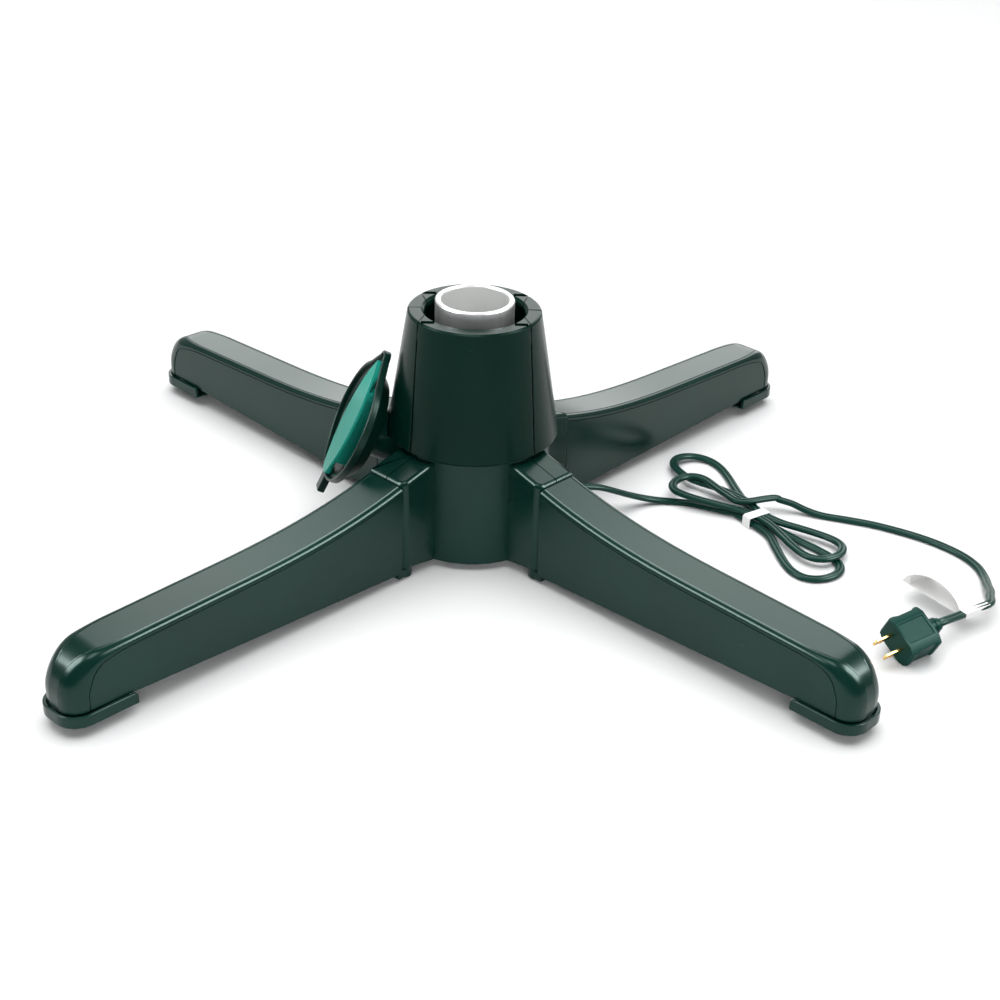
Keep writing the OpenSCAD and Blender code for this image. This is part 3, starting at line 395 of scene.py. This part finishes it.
# cord: one flat two-core lead from the gland through the hank to the plug
cordForm = {
    "width": 6.6,
    "thick": 3.6,
    "coreSteps": 9,
    "fine": 5,
    "length": 1.36,
    "glandTurn": 15,
    "glandExit": (87, 30),
    "lead": [
        (104, 29, 27), (116, 35, 21), (128, 42, 14), (140, 48, 8), (152, 52, 3.8), (165, 53, 1.9),
        (180, 51, 1.9), (194, 46, 1.9), (205, 40, 2.3), (214, 35, 2.8),
    ],
    "tail": [
        (258, 44, 9.8), (268, 42, 7.6), (279, 38, 4), (292, 33, 1.9), (310, 27, 1.9), (330, 20, 1.9),
        (348, 11, 1.9), (366, 0, 1.9), (382, -13, 1.9), (395.7, -29, 1.9), (403.4, -46, 1.9),
        (404.9, -63, 2.2), (402.6, -79, 4.8), (400, -94, 9.2), (395.5, -108, 13.2),
    ],
    "tagAt": (366, -139, 16.5),
    "tagTurn": 33,
    "tagPoints": (29.3, 13, -3.3),
    "swell": (1.12, 1.16),
    "clear": 0.05,
}
plugForm = {
    "at": (308, -176),
    "turn": 210,
    "tilt": 5,
    "roll": 28,
    "width": 33,
    "height": 22.8,
    "cut": 6,
    "length": 28,
    "neck": 13,
}
hankForm = {
    "at": (236, 24),
    # each lobe: reach from the waist, direction and bulge
    "lobes": ((100, -64, 48), (116, -65, 48), (84, -50, 42), (80, -39, 40)),
    "climbs": ((232, 290), (545, 595)),
    "waistHalf": 3.8,
    "lift": 0.9,
    "layer": 4.4,
    "low": 1.9,
    "rings": 56,
}


def plugPlace():
    # the plug's own frame: x out of its front between the blades, z out of its wide upper face
    form = plugForm
    tilt, turn, roll = (math.radians(form[k]) for k in ("tilt", "turn", "roll"))
    cut = form["cut"] * math.tan(roll)
    height = form["width"] / 2 * math.sin(roll) + (form["height"] / 2 - cut) * math.cos(roll)
    place = Matrix.Translation((*form["at"], height)) @ Matrix.Rotation(turn, 4, "Z")
    return place @ Matrix.Rotation(tilt, 4, "Y") @ Matrix.Rotation(-roll, 4, "X")


def mix(a, b, t):
    return a + (b - a) * t


def stepUp(x, start, end):
    u = min(1, max(0, (x - start) / (end - start)))
    return u * u * (3 - 2 * u)


def lobeValue(t, which):
    i = min(3, math.floor((t + 90) / 180))
    lobes = hankForm["lobes"]
    return mix(lobes[max(0, i - 1)][which], lobes[i][which], stepUp(t, 180 * i - 30, 180 * i + 30))


def hankPoint(t):
    sine, cosine = math.sin(math.radians(t)), math.cos(math.radians(t))
    side = 1 - 2 * stepUp(t, 325, 352)
    fade = 1 - 0.6 * stepUp(t, 660, 712)
    turn = math.radians(lobeValue(t, 1))
    x = lobeValue(t, 0) * sine
    y = cosine * side * fade * (hankForm["waistHalf"] + lobeValue(t, 2) * sine ** 2)
    climb = sum(stepUp(t, a, b) for a, b in hankForm["climbs"])
    z = hankForm["low"] + hankForm["lift"] * cosine ** 6 + hankForm["layer"] * climb
    atX, atY = hankForm["at"]
    return Vector((
        atX + x * math.cos(turn) + y * math.sin(turn), atY + x * math.sin(turn) - y * math.cos(turn), z
    ))


def cordPoints():
    form = cordForm
    turn = math.radians(form["glandTurn"])
    reach, height = form["glandExit"]
    out = Vector((math.cos(turn), math.sin(turn), 0))
    start = out * reach + Vector((0, 0, height))
    lead = [start, start + out * form["width"]] + [Vector(p) for p in form["lead"]]
    tail = [Vector(p) for p in form["tail"]]
    hankIn = lead[-1] + (lead[-1] - lead[-2]).normalized() * form["width"]
    hankOut = tail[0] - (tail[1] - tail[0]).normalized() * form["width"]
    loops = [hankPoint(720 * k / hankForm["rings"]) for k in range(1, hankForm["rings"])]
    turn = math.radians(form["tagTurn"])
    along = Vector((math.cos(turn), math.sin(turn), 0))
    tail += [Vector(form["tagAt"]) + along * d for d in form["tagPoints"]]
    place = plugPlace()
    end = plugForm["length"] + plugForm["neck"]
    tail += [place @ Vector((-end - form["width"], 0, 0)), place @ Vector((-end, 0, 0))]
    return lead + [hankIn] + loops + [hankOut] + tail


def roundedRoute(points, fine):
    # a curve through every point, with more points between them
    route = []
    last = len(points) - 1
    for i in range(last):
        a, b, c, d = (points[min(last, max(0, i + k))] for k in (-1, 0, 1, 2))
        for k in range(fine):
            t = k / fine
            route.append(
                ((2 * b) + (c - a) * t + (2 * a - 5 * b + 4 * c - d) * t ** 2
                 + (3 * b - a - 3 * c + d) * t ** 3) / 2
            )
    return route + [points[-1]]


def coreOutline():
    # two round cores side by side that join in a shallow groove
    core = cordForm["thick"] / 2
    apart = cordForm["width"] / 2 - core
    open_ = math.degrees(math.acos(apart / core))
    steps = cordForm["coreSteps"]
    angles = [open_ - 180 + (360 - 2 * open_) * k / steps for k in range(steps + 1)]
    right = [
        (apart + core * math.cos(math.radians(a)), core * math.sin(math.radians(a))) for a in angles
    ]
    return right[:-1] + [(-x, -y) for x, y in right[:-1]]


def makeCord():
    wider, thicker = cordForm["swell"]
    lift = Vector((0, 0, cordForm["thick"] * (thicker - 1) / 2 + cordForm["clear"]))
    route = [p + lift for p in roundedRoute(cordPoints(), cordForm["fine"])]
    outline = [(x * wider, y * thicker) for x, y in coreOutline()]
    bm = bmesh.new()
    loops = []
    for i, point in enumerate(route):
        ahead = (route[min(i + 1, len(route) - 1)] - route[max(i - 1, 0)]).normalized()
        side = Vector((ahead.y, -ahead.x, 0)).normalized()
        above = side.cross(ahead)
        ring = [bm.verts.new((point + side * x + above * y) * mm) for x, y in outline]
        loops.append([bm.edges.new((ring[k], ring[(k + 1) % len(ring)])) for k in range(len(ring))])
    for first, second in zip(loops, loops[1:]):
        bmesh.ops.bridge_loops(bm, edges=first + second)
    for ends in (loops[0], loops[-1]):
        bmesh.ops.edgeloop_fill(bm, edges=ends)
    bmesh.ops.recalc_face_normals(bm, faces=bm.faces)
    cord = makePiece(
        "power_cord", bm, "cord", "housing", ("cord_lead", "cord_hank", "cord_tail"), 60
    )
    length = sum((b - a).length for a, b in zip(route, route[1:])) * mm
    print("cord length", round(length, 4), "rings", len(route))
    return cord, [tuple(p * mm) for p in route]


cord, cordRoute = makeCord()
print("cord laid")


# legs: a curved hollow arm with a beaded top edge that turns down at the nose
legForm = {
    "turns": {"back_right": 45, "back_left": 135, "front_left": 225, "front_right": 315},
    "pinSides": {"back_right": 1, "back_left": -1, "front_left": 1, "front_right": -1},
    "start": 91.6,
    "sweep": 158,
    "rootTop": 81,
    "midTop": 61,
    "tipTop": 57.5,
    "reach": 381,
    "rootLow": 7.5,
    "tipLow": 18,
    "noseRound": 30,
    "halfWidth": 19,
    "edgeRound": 3.8,
    "tipRound": 14,
    "groove": 0.8,
    "wall": 2.4,
    "eye": 12.5,
    "eyeHeights": (1.5, 10.2),
    "pin": (84.25, 12.25),
}


def legTopAt(x):
    form = legForm
    middleX = form["start"] + form["sweep"]
    if x < middleX:
        u = 1 - (x - form["start"]) / form["sweep"]
        return form["midTop"] + (form["rootTop"] - form["midTop"]) * (0.25 * u + 0.75 * u ** 2.6)
    endX = form["reach"] - form["noseRound"]
    return mix(form["midTop"], form["tipTop"], (x - middleX) / (endX - middleX))


def legProfile():
    # points along the top of a leg, over the nose and down to its lower edge
    form = legForm
    endX = form["reach"] - form["noseRound"]
    line = [(x, legTopAt(x)) for x in [mix(form["start"], endX - 20, k / 34) for k in range(35)]]
    line += [(x, legTopAt(x)) for x in [endX - 13, endX - 6]]
    for k in range(17):
        a = math.radians(90 * k / 16)
        line.append((
            endX + form["noseRound"] * math.sin(a),
            form["tipTop"] - form["noseRound"] * (1 - math.cos(a)),
        ))
    low = form["tipTop"] - form["noseRound"]
    line += [(form["reach"], mix(low, form["tipLow"], k / 3)) for k in (1, 2, 3)]
    return line


def legSection(edge, nose):
    # half of a section, from the middle of the top over the rounded corner to the side:
    # distance from the middle and depth below the profile
    form = legForm
    half = form["halfWidth"]
    dip = form["groove"] * (1 - nose)
    section = [(0, 0), ((half - edge) * 0.5, 0), (half - edge - 1.9, 0), (half - edge - 1.3, 0)]
    section += [(half - edge - 0.85, dip * 0.7), (half - edge - 0.35, dip * 0.1)]
    for k in range(7):
        a = math.radians(15 * k)
        section.append((half - edge + edge * math.sin(a), edge - edge * math.cos(a)))
    section += [
        (half - 0.1, edge + 0.25), (half - form["groove"], edge + 0.6),
        (half - form["groove"], edge + 1.15), (half - 0.22, edge + 1.5), (half - 0.2, edge + 2.2),
    ]
    return section


def makeLeg(name):
    form = legForm
    line = legProfile()
    bm = bmesh.new()
    rows = []
    for i, (x, z) in enumerate(line):
        before, after = line[max(0, i - 1)], line[min(len(line) - 1, i + 1)]
        run = Vector((after[0] - before[0], 0, after[1] - before[1])).normalized()
        out = Vector((-run.z, 0, run.x))
        nose = stepUp(x - z, form["reach"] - form["tipTop"] - 52, form["reach"] - form["tipLow"] - 24)
        edge = mix(form["edgeRound"], form["tipRound"], nose)
        row = [
            bm.verts.new(Vector((x, y, z)) - out * depth) for y, depth in legSection(edge, nose)
        ]
        rows.append([bm.edges.new(pair) for pair in zip(row, row[1:])])
        if i == 0:
            sideVerts = []
        sideVerts.append(row[-1])
    for first, second in zip(rows, rows[1:]):
        bmesh.ops.bridge_loops(bm, edges=first + second)
    # the flat side below the bead
    foot = sideVerts[-1]
    foot.co.z = form["tipLow"]
    root = bm.verts.new((form["start"], sideVerts[0].co.y, form["rootLow"]))
    border = [bm.edges.get(pair) or bm.edges.new(pair) for pair in zip(sideVerts, sideVerts[1:])]
    border += [bm.edges.new((sideVerts[0], root)), bm.edges.new((root, foot))]
    bmesh.ops.contextual_create(bm, geom=border)
    whole = bm.verts[:] + bm.edges[:] + bm.faces[:]
    bmesh.ops.mirror(bm, geom=whole, matrix=Matrix.Identity(4), merge_dist=0.01, axis="Y")
    bmesh.ops.recalc_face_normals(bm, faces=bm.faces)
    if max(bm.faces, key=lambda f: f.calc_center_median().z).normal.z < 0:
        bmesh.ops.reverse_faces(bm, faces=bm.faces)
    bmesh.ops.solidify(bm, geom=bm.faces[:], thickness=form["wall"])
    addHingeEye(bm, form["pinSides"][name])
    turn = Matrix.Rotation(math.radians(form["turns"][name]), 4, "Z")
    bmesh.ops.transform(bm, matrix=turn @ Matrix.Diagonal((mm, mm, mm, 1)), verts=bm.verts)
    return makePiece(
        f"arm_{name}", bm, "hub", f"leg_{name}_body", (f"leg_{name}",), 40
    )


def addHingeEye(bm, side):
    low, high = legForm["eyeHeights"]
    x, y = legForm["pin"]
    y *= side
    lift = Matrix.Translation((x, y, (low + high) / 2))
    made = bmesh.ops.create_cone(
        bm, cap_ends=True, segments=48, radius1=legForm["eye"] / 2, radius2=legForm["eye"] / 2,
        depth=high - low, matrix=lift,
    )["verts"]
    rims = {e for v in made for e in v.link_edges if e.calc_face_angle(0) > 1}
    bmesh.ops.bevel(
        bm, geom=list(rims), offset=0.8, offset_type="OFFSET", segments=3, profile=0.5,
        affect="EDGES", clamp_overlap=True, material=-1,
    )
    tongue = legForm["start"] + 3 - x
    block = Matrix.Translation((x + tongue / 2, y, (low + high) / 2))
    block = block @ Matrix.Diagonal((tongue, legForm["eye"] - 1, high - low - 2.4, 1))
    bmesh.ops.create_cube(bm, size=1, matrix=block)


for legName in legForm["turns"]:
    makeLeg(legName)
print("legs made")


# hub, cone, dial and foot bands: the solids with their edges rounded
def legFrame(point):
    # how far along and across the nearest leg a point lies
    turns = [math.radians(a) for a in legForm["turns"].values()]
    turn = max(turns, key=lambda a: point.x * math.cos(a) + point.y * math.sin(a))
    return (
        point.x * math.cos(turn) + point.y * math.sin(turn),
        point.y * math.cos(turn) - point.x * math.sin(turn),
    )


hubForm = {"stubEdge": 3.6, "rimEdge": 2.2, "stubLow": 10.5, "plateShare": 0.955}


def isStubEdge(edge):
    # the outline of a stub's sloping top, without the seam along its middle
    along, across = legFrame(middle(edge))
    upright, sloping = sorted(abs(face.normal.z) for face in edge.link_faces)
    onStub = along > 57.5 and abs(across) > 1 and middle(edge).z > 82
    return onStub and upright < 0.1 and 0.9 < sloping < 0.99


def isHubRim(edge):
    point = middle(edge)
    return point.z > 92 and 59.5 < math.hypot(point.x, point.y) < 62


def makeHub():
    for side in ("front", "right", "back", "left"):
        bm = cadCopy(f"hub_{side}_shell")
        for vert in bm.verts:
            if vert.co.z < 8 * mm and legFrame(vert.co / mm)[0] > 62:
                vert.co.z = hubForm["stubLow"] * mm
        roundOff(bm, hubForm["rimEdge"], 3, isHubRim, clamp=False)
        roundOff(bm, hubForm["stubEdge"], 5, isStubEdge, clamp=False)
        makePiece(f"hub_{side}", bm, "hub", "housing", (f"hub_{side}_shell",))


def makePlate():
    # the plate under the hub stands a little inside the hub's outline
    bm = cadCopy("bottom_plate")
    share = hubForm["plateShare"]
    bmesh.ops.scale(bm, vec=(share, share, 1), verts=bm.verts)
    makePiece("base_plate", bm, "hub", "housing", ("bottom_plate",))


coneForm = {"collarEdge": 2.0, "seamEdge": 0.9}


def isCollarEdge(edge):
    point = middle(edge)
    return point.z > 190 and math.hypot(point.x, point.y) > 46


def makeCone():
    for side in ("front", "back", "left", "right"):
        bm = cadCopy(f"cone_{side}_panel")
        roundOff(bm, coneForm["collarEdge"], 4, isCollarEdge, 24)
        roundOff(bm, coneForm["seamEdge"], 3, lambda e: 94 < middle(e).z < 190, clamp=False)
        panel = makePiece(
            f"cone_{side}", bm, "cone", "housing", (f"cone_{side}_panel",)
        )
        shadeAsTurned(panel)


dialForm = {
    "at": (-95, 0, 98),
    "lean": 25.3,
    "turn": 8.6,
    "gripThick": 1.8,
    "stemHalf": 7.5,
}


def dialPlace():
    # from the dial's own frame, its axis along Z, to the shared one
    turns = [(dialForm["turn"] - 90, "Z"), (90 - dialForm["lean"], "X")]
    place = Matrix.Translation(Vector(dialForm["at"]) * mm)
    for angle, axis in turns:
        place = place @ Matrix.Rotation(math.radians(angle), 4, axis)
    return place @ Matrix.Scale(mm, 4)


def undercutGrip(bm):
    # below its top the grip draws in to a stem, so the dish shows beside it
    top = max(v.co.z for v in bm.verts)
    shelf = top - dialForm["gripThick"]
    whole = bm.verts[:] + bm.edges[:] + bm.faces[:]
    bmesh.ops.bisect_plane(bm, geom=whole, plane_co=(0, 0, shelf), plane_no=(0, 0, 1))
    for vert in bm.verts:
        if vert.co.z < shelf - 0.01 and abs(vert.co.x) > dialForm["stemHalf"]:
            vert.co.x = math.copysign(dialForm["stemHalf"], vert.co.x)


def makeDial():
    bm = cadCopy("dial_dish")
    roundOff(bm, 1.1, 3)
    makePiece("dial_bowl", bm, "dish", "selector", ("dial_dish",))
    bm = cadCopy("dial_grip")
    bmesh.ops.transform(bm, matrix=dialPlace().inverted(), verts=bm.verts)
    undercutGrip(bm)
    bmesh.ops.transform(bm, matrix=dialPlace(), verts=bm.verts)
    roundOff(bm, 1.0, 4)
    makePiece("dial_handle", bm, "grip", "selector", ("dial_grip",))


bandForm = {"share": 0.68, "endRound": 3.6, "edgeRound": 0.8}


def isBandEnd(edge):
    # the short level edges across the band's thickness at its two ends
    a, b = (v.co for v in edge.verts)
    return legFrame(middle(edge))[0] < 345 and abs(a.z - b.z) < 0.1 * mm and 1 * mm < (a - b).length < 5 * mm


def makeBands():
    for name in legForm["turns"]:
        bm = cadCopy(f"band_{name}")
        top = max(v.co.z for v in bm.verts)
        for vert in bm.verts:
            vert.co.z = top - (top - vert.co.z) * bandForm["share"]
        roundOff(bm, bandForm["endRound"], 4, isBandEnd, clamp=False)
        roundOff(bm, bandForm["edgeRound"], 3)
        makePiece(
            f"foot_band_{name}", bm, "hub", f"leg_{name}_body", (f"band_{name}",)
        )


makeHub()
makePlate()
makeCone()
makeDial()
makeBands()
print("hub, cone, dial and bands made")


# plug, blades, tie and tag
def makePlug():
    place = Matrix.Scale(mm, 4) @ plugPlace()
    bm = cadCopy("plug_body")
    bmesh.ops.transform(bm, matrix=place.inverted(), verts=bm.verts)
    for way in (1, -1):
        wide = max(bm.faces, key=lambda f: f.calc_area() if f.normal.z * way > 0.99 else 0)
        bmesh.ops.inset_region(bm, faces=[wide], thickness=3.2, depth=0)
        bmesh.ops.inset_region(bm, faces=[wide], thickness=0.7, depth=-0.7)
    roundOff(bm, 0.9 / mm, 3)
    bmesh.ops.transform(bm, matrix=place, verts=bm.verts)
    plug = makePiece("cord_plug", bm, "plug", "housing", ("plug_body",))
    bm = cadCopy("plug_blades")
    roundOff(bm, 0.25, 2)
    blades = makePiece("plug_prongs", bm, "brass", "housing", ("plug_blades",))
    return plug, blades


def makeTie():
    bm = cadCopy("cord_tie")
    roundOff(bm, 0.25, 2)
    return makePiece("cord_strap", bm, "tie", "housing", ("cord_tie",))


def makeTag():
    bm = cadCopy("cord_tag")
    return makePiece("cord_flag", bm, "film", "housing", ("cord_tag",), 40)


plug, blades = makePlug()
strap = makeTie()
flag = makeTag()
print("plug, tie and tag made")


# finishes of the solids that stay
kept = {
    "hub": ["selector_pod", "cord_gland"],
    "black": ["bearing_tower", "turntable", "pole_stop"],
    "nylon": ["tube_bush", "ring_gear", "output_pinion"],
    "steel": [
        "plate_screws", "tower_screws", "lower_race", "upper_race", "bearing_balls", "gear_screws",
        "gearbox_screws", "dial_shaft", "hinge_pins",
    ],
    "brass": ["ball_cage"],
    "tube": ["tree_tube"],
    "can": ["motor_can", "gearbox"],
    "board": ["control_board"],
    "parts": ["board_parts", "mode_switch"],
    "rubber": ["pad_back_right", "pad_back_left", "pad_front_left", "pad_front_right"],
}
for finish, members in kept.items():
    for member in members:
        mesh = nodes[member].data
        mesh.materials.clear()
        mesh.materials.append(finishes[finish])
print("solids finished")
